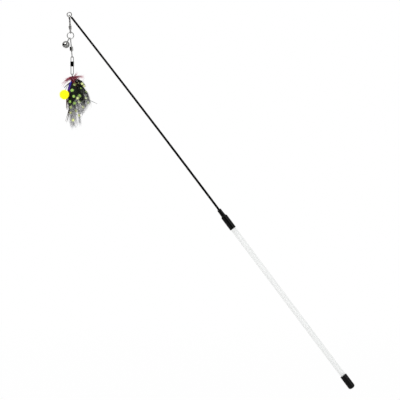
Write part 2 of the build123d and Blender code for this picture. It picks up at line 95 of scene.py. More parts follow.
camera_distance = PHOTO_SIDE * PIXEL * LENS / SENSOR
lens = bpy.data.cameras.new("catalogue_lens")
lens.lens = LENS
lens.sensor_width = SENSOR
camera = bpy.data.objects.new("catalogue_camera", lens)
camera.location = at_pixel(PHOTO_SIDE / 2, PHOTO_SIDE / 2, -camera_distance)
camera.rotation_euler = (radians(90), 0, 0)
scene.collection.objects.link(camera)
scene.camera = camera
print(f"Camera {camera_distance:.2f} m in front of the wand")

# %% [markdown]
# ## Nodes and colours
# Every finish below is a small node tree. Colours are written as sRGB hex values, as a paint chart gives them,
# and turned to the linear values that the renderer works in. One function adds a node, sets it and links it, and
# short ones name the steps that come back in most finishes, so that a tree reads from top to bottom like a recipe.

# %% Helpers for finishes


def colour(code):
    """Linear RGBA of an sRGB hex value."""
    shares = [int(code[place:place + 2], 16) / 255 for place in (1, 3, 5)]
    return [share / 12.92 if share <= 0.04045 else ((share + 0.055) / 1.055) ** 2.4 for share in shares] + [1.0]


def node(tree, kind, inputs=None, **settings):
    """Adds a shader node: inputs maps a socket to a value, or to the output that feeds it."""
    made = tree.nodes.new("ShaderNode" + kind)
    for name, value in settings.items():
        setattr(made, name, value)
    for socket, value in (inputs or {}).items():
        if isinstance(value, bpy.types.NodeSocket):
            tree.links.new(value, made.inputs[socket])
        else:
            made.inputs[socket].default_value = value
    return made


def bare_material(name):
    """New material with an empty node tree."""
    material = bpy.data.materials.new(name)
    material.use_nodes = True
    material.node_tree.nodes.clear()
    return material, material.node_tree


def mask(tree, name):
    """Output of a mask that the mesh carries."""
    return node(tree, "Attribute", attribute_name=name).outputs["Fac"]


def noise(tree, place, scale, detail):
    """Output of a noise pattern over coordinates, with that many cells to their unit."""
    return node(tree, "TexNoise", {"Vector": place, "Scale": scale, "Detail": detail}).outputs[0]


def blend(tree, share, first, second):
    """Output that mixes two colours, each a hex value or another node's output."""
    ends = [colour(end) if isinstance(end, str) else end for end in (first, second)]
    return node(tree, "Mix", {0: share, 6: ends[0], 7: ends[1]}, data_type="RGBA").outputs[2]


def ranged(tree, value, source=(0.0, 1.0), target=(0.0, 1.0)):
    """Output that carries a value from one range to another."""
    return node(tree, "MapRange", {"Value": value, "From Min": source[0], "From Max": source[1],
                                   "To Min": target[0], "To Max": target[1]}).outputs[0]


def relief(tree, height, strength, depth):
    """Output of a normal that is tilted by a pattern of small heights."""
    return node(tree, "Bump", {"Height": height, "Strength": strength, "Distance": depth}).outputs[0]


def coated(material, inputs):
    """Ends a material with one Principled shader."""
    tree = material.node_tree
    shader = node(tree, "BsdfPrincipled", inputs)
    node(tree, "OutputMaterial", {"Surface": shader.outputs[0]})
    return material


view_settings = scene.view_settings
view_settings.view_transform = "Standard"
print("View transform:", view_settings.view_transform)

# %% [markdown]
# ## The white studio
# The photograph's ground is pure white. More lamps could bleach it, but they would bleach the object too, so the
# world is white only to rays that come from the camera, from a mirror or through glass, and dimmer to the rays
# that light matt surfaces.

# %% World
AMBIENT = 0.55


def seen_ray(tree):
    """Output that is 1 for rays from the camera, from a mirror or through glass, and 0 for the rest."""
    path = node(tree, "LightPath")
    mirror = node(tree, "Math", {0: path.outputs["Is Camera Ray"], 1: path.outputs["Is Glossy Ray"]},
                  operation="MAXIMUM")
    seen = node(tree, "Math", {0: mirror.outputs[0], 1: path.outputs["Is Transmission Ray"]}, operation="MAXIMUM")
    return seen.outputs[0]


world = bpy.data.worlds.new("white_studio")
world.use_nodes = True
world.node_tree.nodes.clear()
scene.world = world
tree = world.node_tree
dim = node(tree, "Background", {"Color": colour("#FFFFFF"), "Strength": AMBIENT})
white = node(tree, "Background", {"Color": colour("#FFFFFF"), "Strength": 1.0})
mix = node(tree, "MixShader", {0: seen_ray(tree), 1: dim.outputs[0], 2: white.outputs[0]})
node(tree, "OutputWorld", {"Surface": mix.outputs[0]})
print("World: white where it is seen,", AMBIENT, "where it lights")

# %% [markdown]
# ## Floor and lamps
# The floor is pale paper below the butt. It glows to the camera, and wholly so far out, so that it meets the white
# world with no line. Under the object the rest of it is plain matt paper that keeps a soft shadow. Two large lamps
# give soft light from the front, with the stronger one high on the left.

# %% Stage
FLOOR_DROP = 45 * MM
FLOOR_HALF = 4.0
PAPER_GLOW = 0.98                # share of its brightness that isn't lit by the lamps
GLOW_NEAR = 0.4                  # metres from the butt where the paper starts to fade into the world
GLOW_FAR = 1.8


def linked(name, bm, material):
    """Turns a finished mesh into an object of the scene."""
    mesh = bpy.data.meshes.new(name)
    bm.to_mesh(mesh)
    bm.free()
    mesh.materials.append(material)
    piece = bpy.data.objects.new(name, mesh)
    scene.collection.objects.link(piece)
    return piece


def staged(name, bm, material):
    """Links a stage piece that isn't part of the object."""
    piece = linked(name, bm, material)
    return piece


def paper_floor():
    """Matt white paper: it shows soft shadows and no gloss."""
    material, tree = bare_material("matt_white_paper")
    place = node(tree, "TexCoord")
    away = node(tree, "VectorMath", {0: place.outputs["Object"]}, operation="LENGTH")
    fade = ranged(tree, away.outputs["Value"], (GLOW_NEAR, GLOW_FAR), (PAPER_GLOW, 1.0))
    share = node(tree, "Math", {0: seen_ray(tree), 1: fade}, operation="MULTIPLY")
    matt = node(tree, "BsdfDiffuse", {"Color": colour("#F6F6F6")})
    glow = node(tree, "Emission", {"Color": colour("#FFFFFF"), "Strength": 1.0})
    mix = node(tree, "MixShader", {0: share.outputs[0], 1: matt.outputs[0], 2: glow.outputs[0]})
    node(tree, "OutputMaterial", {"Surface": mix.outputs[0]})
    return material


bm = bmesh.new()
bmesh.ops.create_grid(bm, x_segments=1, y_segments=1, size=FLOOR_HALF)
bmesh.ops.translate(bm, vec=(0, 0, cad_box[0].z - FLOOR_DROP), verts=bm.verts)
staged("floor", bm, paper_floor())

lamp_aim = at_pixel(140, 140)    # between the lure and the rod
# name: place from the lamps' aim, size, power in watts
lamps = {
    "key_softbox": ((-0.55, -0.95, 0.85), 0.7, 9.0),
    "fill_softbox": ((0.85, -1.00, 0.25), 0.9, 4.0),
}
for name, (offset, size, power) in lamps.items():
    lamp = bpy.data.lights.new(name, "AREA")
    lamp.size = size
    lamp.energy = power
    holder = bpy.data.objects.new(name, lamp)
    holder.location = lamp_aim + Vector(offset)
    holder.rotation_euler = (lamp_aim - holder.location).to_track_quat("-Z", "Y").to_euler()
    scene.collection.objects.link(holder)
print("Stage: floor,", len(lamps), "lamps")

# %% [markdown]
# ## A dark backdrop for the metal
# Small shiny things look flat in an all-white room, because metal shows nothing but the room. A photographer hangs a
# wide dark cloth round the front and left of it, out of the picture, and leaves the right and the ceiling white.
# Each fitting then shows a dark side, a light side and a bright top. The cloth hangs well away from the wand, so it
# serves every pose.

# %% Dark backdrop
BACKDROP_R = 1.5                 # metres from the chain
BACKDROP_RISE = 1.2
BACKDROP_TURNS = (-170, 40)      # first and last angle from the camera to the right, in degrees
BACKDROP_STEPS = 24


def black_velvet():
    """Black velvet: it swallows nearly all light and shows no gloss."""
    material, tree = bare_material("black_velvet")
    glow = node(tree, "Emission", {"Color": colour("#030303"), "Strength": 1.0})
    node(tree, "OutputMaterial", {"Surface": glow.outputs[0]})
    return material


def dark_backdrop(material):
    """Upright cloth bent round the chain, which only reflections show."""
    low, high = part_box("snap_wire")
    foot = Vector(((low.x + high.x) / 2, (low.y + high.y) / 2, -FLOOR_DROP))
    first, last = BACKDROP_TURNS
    edge = Vector((sin(radians(first)), -cos(radians(first)), 0)) * BACKDROP_R
    bm = bmesh.new()
    corners = [bm.verts.new(foot + edge + Vector((0, 0, rise))) for rise in (0, BACKDROP_RISE)]
    hem = bm.edges.new(corners)
    bmesh.ops.spin(bm, geom=corners + [hem], cent=foot, axis=(0, 0, 1), angle=radians(last - first),
                   steps=BACKDROP_STEPS)
    piece = staged("dark_backdrop", bm, material)
    for ray in ("camera", "diffuse", "shadow", "transmission"):
        setattr(piece, "visible_" + ray, False)


dark_backdrop(black_velvet())
print("Backdrop", BACKDROP_R, "m from the chain")

# %% [markdown]
# ## Finishes of the wand
# The butt cap and the ferrule are dip-moulded vinyl, the handle is extruded acrylic and the rod is pulled glass
# fibre. All three patterns run along the wand, so the Object coordinates are first turned to lie along it. A
# pattern that ignored that would cross the handle at a slant.

# %% Vinyl, acrylic and glass fibre
wand_along = -Vector(frame["record"]["mounts"][0]["axis"])
wand_across = Vector((wand_along.z, 0, -wand_along.x))
wand_turn = atan2(-wand_along.z, wand_along.x)


def along_wand(tree, length, girth):
    """Object coordinates turned along the wand, counted in pattern cells of that length and girth."""
    place = node(tree, "TexCoord")
    turned = node(tree, "Mapping", {"Vector": place.outputs["Object"], "Rotation": (0, wand_turn, 0),
                                    "Scale": (length, girth, girth)}, vector_type="TEXTURE")
    return turned.outputs[0]


def dipped_vinyl():
    """Dip-moulded PVC: deep black and satin, with the faint orange peel of a skin that set in air."""
    material, tree = bare_material("dipped_black_vinyl")
    grain = along_wand(tree, 1.6 * MM, 1.0 * MM)
    peel = noise(tree, grain, 1.0, 3.0)
    scuff = noise(tree, grain, 0.18, 4.0)
    return coated(material, {"Base Color": blend(tree, scuff, "#010101", "#060607"),
                             "Roughness": ranged(tree, scuff, (0.3, 0.7), (0.14, 0.24)),
                             "Specular IOR Level": 0.1, "Normal": relief(tree, peel, 0.12, 0.08 * MM)})


def clear_acrylic():
    """Extruded acrylic: clear with a milky cast, which is strongest where its walls are seen edge-on."""
    material, tree = bare_material("extruded_clear_acrylic")
    lines = noise(tree, along_wand(tree, 60 * MM, 1.2 * MM), 1.0, 2.0)
    slant = node(tree, "LayerWeight", {"Blend": 0.3})
    return coated(material, {"Base Color": blend(tree, lines, "#FFFFFF", "#E6EAE8"), "Roughness": 0.2, "IOR": 1.49,
                             "Alpha": ranged(tree, slant.outputs["Facing"], target=(0.19, 0.6))})


def pulled_glass_fibre():
    """Pultruded glass fibre in black resin: satin, with fine fibre lines along the rod."""
    material, tree = bare_material("black_glass_fibre")
    fibre = noise(tree, along_wand(tree, 14 * MM, 0.35 * MM), 1.0, 4.0)
    return coated(material, {"Base Color": blend(tree, fibre, "#010101", "#070708"),
                             "Roughness": ranged(tree, fibre, (0.3, 0.7), (0.4, 0.55)),
                             "Specular IOR Level": 0.06, "Normal": relief(tree, fibre, 0.15, 0.05 * MM)})


def dress(material, *names):
    """Gives CAD nodes a finish."""
    for name in names:
        for holder in nodes[name].material_slots:
            holder.material = material
    print(material.name, "on", ", ".join(names))


dress(dipped_vinyl(), "end_cap", "ferrule")
dress(clear_acrylic(), "handle_tube")
dress(pulled_glass_fibre(), "rod")

# %% [markdown]
# ## Bright nickel
# The clasp, ring, bell, swivel and snap are pressed, cast or bent and then nickel-plated in a barrel, which leaves
# a smooth skin with soft dents and dull, rubbed patches. What the eye sees in it is mostly the room, so its contrast
# comes from the dark backdrop and the white ceiling.

# %% Nickel plate


def barrel_nickel():
    """Barrel-plated nickel: a smooth, neutral grey mirror, dulled in patches by rubbing."""
    material, tree = bare_material("barrel_plated_nickel")
    place = node(tree, "TexCoord").outputs["Object"]
    rub = noise(tree, place, 1 / (3 * MM), 4.0)
    dent = noise(tree, place, 1 / (1.4 * MM), 2.0)
    return coated(material, {"Base Color": blend(tree, rub, "#A2A2A0", "#6E6E6C"), "Metallic": 1.0,
                             "Roughness": ranged(tree, rub, (0.35, 0.7), (0.06, 0.2)),
                             "Normal": relief(tree, dent, 0.1, 0.1 * MM)})


dress(barrel_nickel(), "tip_eye", "clasp_body", "clasp_trigger", "clasp_rivet", "clasp_spring", "jump_ring",
      "bell_loop", "bell_upper_shell", "bell_lower_shell", "bell_ball", "swivel_upper_eye", "swivel_barrel",
      "swivel_lower_eye", "snap_wire", "snap_clip", "lure_loop")

# %% [markdown]
# ## Where the feathers lie
# Each feather in the CAD model is a thin curved blade on a surface of revolution about the lure's own axis, which
# leans a little. Its midline is an arc through three points: the root at the binding, the belly and the tip. The
# same arcs are repeated here, so that every barb can be laid on the blade that it stands for. The other way would
# be to drop hair on the blades with a particle system, but then nothing could follow a spot or a shaft.

# %% Curved faces of the feathers
FEATHER_LEAN = radians(4)
lure_up = Vector((-sin(FEATHER_LEAN), 0, cos(FEATHER_LEAN)))
lure_right = Vector((cos(FEATHER_LEAN), 0, sin(FEATHER_LEAN)))
towards_camera = Vector((0, -1, 0))
binding_low, binding_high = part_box("lure_binding")
binding_foot = Vector(((binding_low.x + binding_high.x) / 2, (binding_low.y + binding_high.y) / 2, binding_low.z))
binding_top = Vector((binding_foot.x, binding_foot.y, binding_high.z))

LOW_ROOT = (1.35, 0.3)
CORE_ROOT = (0.75, 0.3)
HIGH_ROOT = (2.35, -1.5)
TOP_ROOT = (2.35, -3.0)

# turn from the front towards the right in degrees, then root, belly and tip as (radius, drop below the binding)
# and the half width, all in millimetres
BLADES = {
    "front_spotted_feather": (-14, LOW_ROOT, (8.0, 14), (8.6, 40), 8.5),
    "front_right_spotted_feather": (20, HIGH_ROOT, (13.0, 12), (14.8, 36), 8.5),
    "right_spotted_feather": (74, LOW_ROOT, (14.5, 10), (13.6, 36), 8.0),
    "rear_right_spotted_feather": (128, LOW_ROOT, (10.5, 15), (11.4, 38), 8.0),
    "rear_left_spotted_feather": (195, LOW_ROOT, (8.4, 14), (9.4, 40), 8.5),
    "left_spotted_feather": (-94, LOW_ROOT, (7.4, 13), (9.0, 31), 7.0),
    "shoulder_spotted_feather": (64, TOP_ROOT, (12.0, -1.4), (18.0, 7.5), 8.0),
    "front_grey_plume": (-12, CORE_ROOT, (4.6, 20), (5.8, 56), 6.0),
    "right_grey_plume": (104, CORE_ROOT, (4.8, 20), (6.4, 52), 6.0),
    "left_grey_plume": (-138, CORE_ROOT, (4.6, 20), (5.8, 54), 6.0),
    "brown_strand": (-75, CORE_ROOT, (4.2, 26), (12.6, 52), 0.9),
    "grey_fluff": (108, HIGH_ROOT, (17.0, 12), (21.0, 33), 4.0),
    "purple_feather": (-26, HIGH_ROOT, (7.6, 4.5), (11.2, 12), 1.7),
}
LEAST_WRAP = 4.0                 # radius under which a blade stops curling round the axis


def circle_through(root, belly, tip):
    """Centre and radius of the circle through three points."""
    (ax, ay), (bx, by), (cx, cy) = root, belly, tip
    double = 2 * (ax * (by - cy) + bx * (cy - ay) + cx * (ay - by))
    a, b, c = ax * ax + ay * ay, bx * bx + by * by, cx * cx + cy * cy
    x = (a * (by - cy) + b * (cy - ay) + c * (ay - by)) / double
    y = (a * (cx - bx) + b * (ax - cx) + c * (bx - ax)) / double
    return x, y, hypot(ax - x, ay - y)


def radial(turn):
    """Direction square to the lure's axis, turned from the front towards the right, in radians."""
    return lure_right * sin(turn) + towards_camera * cos(turn)


def blade_face(turn, root, belly, tip):
    """Function from a place on a blade to a point of the frame, and the length of the blade's midline in mm."""
    centre_r, centre_drop, size = circle_through(root, belly, tip)
    bulge = 1 if centre_r < belly[0] else -1
    spans = [atan2(bulge * (drop - centre_drop), bulge * (radius - centre_r)) for radius, drop in (root, tip)]

    def place(share, across=0.0, lift=0.0):
        """Share runs from root to tip, across to the blade's right and lift out of it, both in mm."""
        angle = spans[0] + (spans[1] - spans[0]) * share
        radius = centre_r + (bulge * size + lift) * cos(angle)
        drop = centre_drop + (bulge * size + lift) * sin(angle)
        out = radial(radians(turn) + across / max(radius, LEAST_WRAP))
        return binding_foot + (out * radius - lure_up * drop) * MM

    return place, size * abs(spans[1] - spans[0])


faces = {name: blade_face(*shape[:4]) for name, shape in BLADES.items()}
half_widths = {name: shape[4] for name, shape in BLADES.items()}
for name, (place, length) in faces.items():
    low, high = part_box(name)
    miss = max(max(low[i] - place(0.5)[i], place(0.5)[i] - high[i]) for i in range(3)) / MM
    print(f"{name}: midline {length:.1f} mm, {max(miss, 0):.2f} mm outside its solid's box")

# %% [markdown]
# ## Barbs, shafts and strands
# A feather is a shaft with two rows of barbs, and each barb leaves the shaft at a slant and sweeps towards the tip.
# Here a barb is a narrow grid that is bent along such a curve and laid on the blade, and a Solidify modifier gives
# it its thickness. A shaft or a hair is a grid rolled into a tapering tube. Alpha-mapped cards would be lighter,
# but they'd be flat from the side, and the lure is turned and swung.

# %% Barb and strand makers
BARB_THICK = 0.06                # mm
BARB_TAPER = 0.8                 # share of its width that a barb loses by its end
RUN_SPAN = 0.02                  # share of a strand, to each side of a place, that gives its direction there
ALONG_VIEW = 0.9                 # Y share of a direction from which it counts as along the view
WELD = 1e-8                      # metres between points that count as one
MASKS = ("spot", "dye", "wisp", "tone", "reach")


def new_plumage():
    """Empty mesh with the masks that the feather finishes read."""
    bm = bmesh.new()
    return bm, {name: bm.verts.layers.float.new(name) for name in MASKS}


def ease(low, high, value):
    """Smooth step from 0 at low to 1 at high."""
    share = min(max((value - low) / (high - low), 0), 1)
    return share * share * (3 - 2 * share)


def barb(bm, masks, face, start, side, reach, width, leave=50, sweep=15, lift=0.0, curl=0.0, tone=0.5, wisp=0.0,
         steps=10, swell=None):
    """Barb from a share of the shaft: leave and sweep are its first and last angle to the shaft, in degrees.

    Swell, a function of a point, gives how many times wider the barb gets there.
    """
    place, length = face
    first, last = radians(leave), radians(sweep)
    grid = bmesh.ops.create_grid(bm, x_segments=1, y_segments=steps, size=1)
    for vert in grid["verts"]:
        share = (vert.co.y + 1) / 2
        edge = vert.co.x
        angle = first + (last - first) * share
        half = edge * width / 2 * (1 - BARB_TAPER * share ** 2)
        along = reach * (sin(angle) - sin(first)) / (last - first)
        across = reach * (cos(first) - cos(angle)) / (last - first)
        rise = lift + curl * share ** 2
        if swell:
            half *= swell(place(start + along / length, side * across, rise))
        vert.co = place(start + (along - half * sin(angle)) / length, side * (across + half * cos(angle)), rise)
        vert[masks["wisp"]] = wisp
        vert[masks["tone"]] = tone
        vert[masks["reach"]] = share


def strand(bm, masks, line, thick, sides=5, steps=10, tone=0.5, wisp=0.0, reach=1.0):
    """Closed tapering tube along line, a function of a share from 0 to 1; thick gives its radius at a share."""
    grid = bmesh.ops.create_grid(bm, x_segments=sides, y_segments=steps, size=1)
    rings = {}
    for vert in grid["verts"]:
        share = (vert.co.y + 1) / 2
        turn = pi * vert.co.x
        step = round(share * steps)
        if step not in rings:
            run = (line(min(share + RUN_SPAN, 1)) - line(max(share - RUN_SPAN, 0))).normalized()
            steep = abs(run.y) > ALONG_VIEW
            beside = run.orthogonal() if steep else run.cross(Vector((0, 1, 0))).normalized()
            rings[step] = line(share), beside, run.cross(beside).normalized()
        middle, beside, over = rings[step]
        radius = 0.0 if step in (0, steps) else thick(share)
        vert.co = middle + (beside * cos(turn) + over * sin(turn)) * radius
        vert[masks["tone"]] = tone
        vert[masks["wisp"]] = wisp
        vert[masks["reach"]] = reach * share


def piece_of(name, bm, material, slot, *stands_for, thick=0.0, body="lure"):
    """Closes a mesh into a piece that rides on a body and stands for its CAD nodes."""
    bmesh.ops.remove_doubles(bm, verts=bm.verts, dist=WELD)
    bmesh.ops.recalc_face_normals(bm, faces=bm.faces)
    for face in bm.faces:
        face.smooth = True
    piece = linked(name, bm, material)
    if thick:
        wall = piece.modifiers.new("barb_thickness", "SOLIDIFY")
        wall.thickness = thick * MM
        wall.offset = 0
    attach(piece, body)
    if stands_for:
        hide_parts(*stands_for)
    print(name, "has", len(piece.data.polygons), "faces before its thickness")


# %% [markdown]
# ## Spots
# Guinea-fowl feathers carry pale round spots, and dye has turned these yellow-green. On the sides that the
# photograph shows, each spot is placed by its pixel and pushed back onto the blade that it lies on. On the other
# sides the spots stand in staggered rows, as they do on the bird. A spot is a mask on the barbs, so its rim breaks
# up along them as on a real feather. A painted disc would have a clean edge.

# %% Places of the spots
SPOT_SIZES = (1.5, 2.0)          # mm, radius
SPOT_SOFT = 0.45
SPOT_ROW = 7.0                   # mm from row to row
SPOT_COLUMN = 6.5
SPOT_WANDER = 0.8
SPOT_DEPTH = 0.4                 # share of the distance along the view that counts, as barbs lie in layers there

# across and down in the photograph, and the dye from 0, lime, to 1, pale yellow
seen_spots = {
    "shoulder_spotted_feather": ((79.0, 83.4, 0.9), (82.7, 84.2, 0.9), (84.6, 86.6, 1.0)),
    "front_right_spotted_feather": (
        (75.2, 84.9, 0.4), (80.8, 89.0, 0.1), (72.8, 91.0, 0.1), (80.6, 96.2, 0.2), (74.6, 97.1, 0.1),
        (78.4, 98.8, 0.8), (75.4, 104.0, 0.2), (79.9, 102.6, 0.8)),
    "front_spotted_feather": ((70.5, 102.0, 0.1), (71.4, 107.8, 0.7)),
    "right_spotted_feather": ((86.3, 98.6, 0.7), (83.3, 107.4, 1.0)),
    "front_grey_plume": ((76.4, 110.9, 0.8), (71.2, 113.0, 1.0), (79.1, 115.5, 1.0), (73.3, 120.4, 0.9)),
}
unseen_sides = ("rear_right_spotted_feather", "rear_left_spotted_feather", "left_spotted_feather")


def spot_at(name, across, down):
    """Point of a blade that lies behind a pixel of the photograph."""
    centre_r, centre_drop, size = circle_through(*BLADES[name][1:4])
    offset = (at_pixel(across, down) - binding_foot) / MM
    drop = -offset.dot(lure_up)
    right = offset.dot(lure_right)
    radius = centre_r + sqrt(max(size ** 2 - (drop - centre_drop) ** 2, 0))
    ahead = sqrt(max(radius ** 2 - right ** 2, 0))
    return binding_foot + (lure_right * right + towards_camera * ahead - lure_up * drop) * MM


chance = Random(7)
spots = [(spot_at(name, across, down), dye) for name, places in seen_spots.items() for across, down, dye in places]
for name in ("right_spotted_feather", *unseen_sides):
    place, length = faces[name]
    for row in range(1, int(length / SPOT_ROW)):
        for column in (-1.0, 0.0, 1.0) if row % 2 else (-0.5, 0.5):
            wander = chance.uniform(-SPOT_WANDER, SPOT_WANDER)
            point = place((row * SPOT_ROW + wander) / length, column * SPOT_COLUMN + wander)
            if (point - binding_foot).dot(towards_camera) < 0:
                spots.append((point, chance.random()))
spot_radii = [chance.uniform(*SPOT_SIZES) for _ in spots]


def spot_finder(depth):
    """Function that tells how far a point lies inside a spot, from 0 to 1, and that spot's dye."""
    def flattened(point):
        """Point with only a share of its depth."""
        return Vector((point.x, point.y * depth, point.z))

    tree = KDTree(len(spots))
    for index, (point, _) in enumerate(spots):
        tree.insert(flattened(point), index)
    tree.balance()

    def spot_share(point):
        """How far a point lies inside the nearest spot, and the dye there."""
        _, index, away = tree.find(flattened(point))
        radius = spot_radii[index]
        return 1 - ease(radius - SPOT_SOFT, radius + SPOT_SOFT, away / MM), spots[index][1]

    return spot_share


seen_share = spot_finder(SPOT_DEPTH)
round_share = spot_finder(1.0)
print("Spots:", len(spots))


def spot_mask(bm, masks, share=seen_share):
    """Marks the parts of the barbs that lie in a spot, with that spot's dye."""
    for vert in bm.verts:
        vert[masks["spot"]], vert[masks["dye"]] = share(vert.co)


# %% [markdown]
# ## Guinea-fowl feathers
# Seven feathers make the lure's body, all near-black but for a rusty brown one on the left. Near the root the barbs
# hook together into a closed vane. Towards the tip they part, thin out and turn grey, and on the right they do so
# early, which leaves a see-through veil. The barbs are laid close at the top and ever wider apart below, with lengths
# that follow the blade's outline, and some chance in each so that no two match.

# %% Finish of the spotted vanes


def dyed_guinea_fowl(name, dark, light):
    """Dyed feather: near-black barbs with a faint green sheen, lime to pale yellow spots and grey wisps."""
    material, tree = bare_material(name)
    barbule = noise(tree, node(tree, "TexCoord").outputs["Object"], 1 / (0.5 * MM), 3.0)
    tone = mask(tree, "tone")
    shade = node(tree, "Math", {0: tone, 1: barbule}, operation="MULTIPLY")
    vane = blend(tree, shade.outputs[0], dark, light)
    grey = blend(tree, tone, "#4E5050", "#B4B4B6")
    body = blend(tree, mask(tree, "wisp"), vane, grey)
    lime = blend(tree, barbule, "#7CC42E", "#C6F27E")
    pale = blend(tree, barbule, "#E4EE70", "#FBFFDC")
    dyed = blend(tree, mask(tree, "dye"), lime, pale)
    coat = blend(tree, mask(tree, "spot"), body, dyed)
    return coated(material, {"Base Color": coat, "Roughness": 0.55, "Specular IOR Level": 0.15,
                             "Sheen Weight": 0.06, "Sheen Roughness": 0.4})


# %% Spotted feathers, barb by barb
BARB_STEP = 0.5                  # mm along the shaft at the top
FULL_LENGTH = 40                 # mm, a shorter feather has its barbs closer
BARB_WIDTH = 0.7
LAST_BARB = 0.97                 # share of the shaft that carries barbs
LEAVES = (52, 62)                # degrees from the shaft, at a barb's root
SWEEPS = (8, 26)                 # and at its end
RAGGED = 4                       # mm of chance in where the vane parts
WISP_REACH = 5                   # mm that a wisp may be longer than a barb
WISP_THIN = 0.62                 # share of the width that it lacks
WISP_SPREAD = 0.9                # share that it stands farther from the next
WISP_LEAVE = 16                  # degrees that it hangs closer to the shaft, at its root
WISP_SWEEP = 12                  # and at its end

# drop below the binding where the vane starts to part and where it is all wisps, how many times as far as the
# blade's left and right edge the barbs reach, how far their ends stand off it in mm, how much squarer than usual
# they leave the shaft in degrees, and where on the shaft the first one stands, in mm
VANES = {
    "front_spotted_feather": (25, 35, (0.95, 1.3), (-0.4, 0.8), 0, 1),
    "front_right_spotted_feather": (21, 30, (1.3, 2.7), (-0.4, 0.8), 6, 1),
    "right_spotted_feather": (12, 20, (2.5, 1.5), (0.0, 3.2), 6, 1),
    "rear_right_spotted_feather": (16, 27, (2.4, 1.3), (-0.4, 0.8), 0, 1),
    "rear_left_spotted_feather": (23, 33, (1.25, 1.25), (-0.4, 0.8), 0, 1),
    "left_spotted_feather": (30, 44, (1.25, 2.2), (0.6, 2.6), 10, 1),
    "shoulder_spotted_feather": (14, 24, (0.8, 0.8), (-15, 1.5), 25, 4),
}


def vane_outline(share):
    """Half width of a feather as a share of its widest: rising fast, then tapering to the tip."""
    return ease(-0.08, 0.22, share) * (1 - 0.55 * ease(0.45, 1.05, share))


def shaft(bm, masks, face, root_r, last=LAST_BARB):
    """Tapering shaft along a blade's midline."""
    place, length = face
    strand(bm, masks, lambda share: place(last * share, 0, 0.12), lambda share: root_r * (1 - 0.8 * share) * MM,
           sides=6, steps=16, tone=0.9)


def spotted_feather(name, material, seed):
    """One guinea-fowl feather on its blade."""
    chance = Random(seed)
    face = faces[name]
    place, length = face
    parting, parted, overs, rises, square, along = VANES[name]
    bm, masks = new_plumage()
    shaft(bm, masks, face, 0.3)
    step = BARB_STEP * min(length / FULL_LENGTH, 1)
    while along < length * LAST_BARB:
        share = along / length
        drop = -(place(share) - binding_foot).dot(lure_up) / MM
        wisp = ease(parting, parted, drop + chance.uniform(-RAGGED, RAGGED))
        widest = half_widths[name] * vane_outline(share)
        for side, over in zip((-1, 1), overs):
            reach = widest * over * chance.uniform(0.85, 1.1) + WISP_REACH * wisp * chance.random()
            barb(bm, masks, face, share, side, reach, BARB_WIDTH * (1 - WISP_THIN * wisp),
                 leave=chance.uniform(*LEAVES) + square - WISP_LEAVE * wisp,
                 sweep=chance.uniform(*SWEEPS) + square - WISP_SWEEP * wisp,
                 lift=chance.uniform(-0.12, 0.12), curl=chance.uniform(*rises), tone=chance.random(), wisp=wisp,
                 steps=14)
        along += step * chance.uniform(0.8, 1.2) * (1 + WISP_SPREAD * wisp)
    spot_mask(bm, masks, round_share if name in unseen_sides else seen_share)
    piece_of(name + "_barbs", bm, material, "spotted_feather", name, thick=BARB_THICK)


dark_vane = dyed_guinea_fowl("dyed_guinea_fowl", "#040604", "#1B2616")
rusty_vane = dyed_guinea_fowl("rusty_guinea_fowl", "#2A0E0A", "#9A5644")
for seed, name in enumerate(VANES):
    spotted_feather(name, rusty_vane if name.startswith("left") else dark_vane, seed)

# %% [markdown]
# ## Grey plumes and fluff
# Between the dark feathers hang longer grey ones, and a tuft of marabou fluff stands out on the right. Their barbs
# never hook together, so the white ground shows through. That see-through grey comes from thin, widely spaced
# barbs. A half-transparent sheet would be quicker, but it would look like film.

# %% Finish and barbs of the plumes


def soft_grey_down(name, dark, light, tip):
    """Undyed down: silky barbs of mixed greys that fade to pale tips, with yellow where a spot lies."""
    material, tree = bare_material(name)
    root = blend(tree, mask(tree, "tone"), dark, light)
    hair = blend(tree, mask(tree, "reach"), root, tip)
    coat = blend(tree, mask(tree, "spot"), hair, "#F0F99C")
    return coated(material, {"Base Color": coat, "Roughness": 0.6, "Specular IOR Level": 0.2,
                             "Sheen Weight": 0.2, "Sheen Roughness": 0.4})


SPOT_SWELL = 2.5                 # barbs cling together in a spot
FIRST_DOWN = 2.0                 # mm along the shaft

# mm between barbs, their width, how far in and out of the blade they stand, how many times as far as its left and
# its right edge they reach, and the share of the shaft that carries them
PLUMES = {
    "front_grey_plume": (0.45, 0.24, (-1.0, 3.0), 2.6, 2.6, 0.97),
    "right_grey_plume": (0.45, 0.24, (-1.0, 3.0), 2.8, 2.2, 0.97),
    "left_grey_plume": (0.5, 0.24, (-1.0, 3.0), 2.4, 2.4, 0.97),
    "grey_fluff": (0.13, 0.14, (-8.0, 1.5), 3.6, 2.2, 0.78),
}


def downy_plume(name, material, seed):
    """Loose grey feather with long barbs that hang almost along it."""
    chance = Random(seed)
    face = faces[name]
    length = face[1]
    step, width, slack, left, right, last = PLUMES[name]
    bm, masks = new_plumage()
    shaft(bm, masks, face, 0.22, last)
    along = FIRST_DOWN
    while along < length * last:
        share = along / length
        for side, over in ((-1, left), (1, right)):
            reach = half_widths[name] * (0.4 + 0.6 * ease(0.0, 0.4, share)) * over * chance.uniform(0.6, 1.2)
            barb(bm, masks, face, share, side, reach * (1 - 0.55 * ease(0.65, 1, share)), width,
                 leave=chance.uniform(24, 52), sweep=chance.uniform(-8, 14), lift=chance.uniform(-0.2, 0.2),
                 curl=chance.uniform(*slack), tone=chance.random(), steps=12,
                 swell=lambda point: 1 + SPOT_SWELL * seen_share(point)[0])
        along += step * chance.uniform(0.6, 1.4)
    spot_mask(bm, masks)
    piece_of(name + "_barbs", bm, material, "grey_feather", name, thick=BARB_THICK)


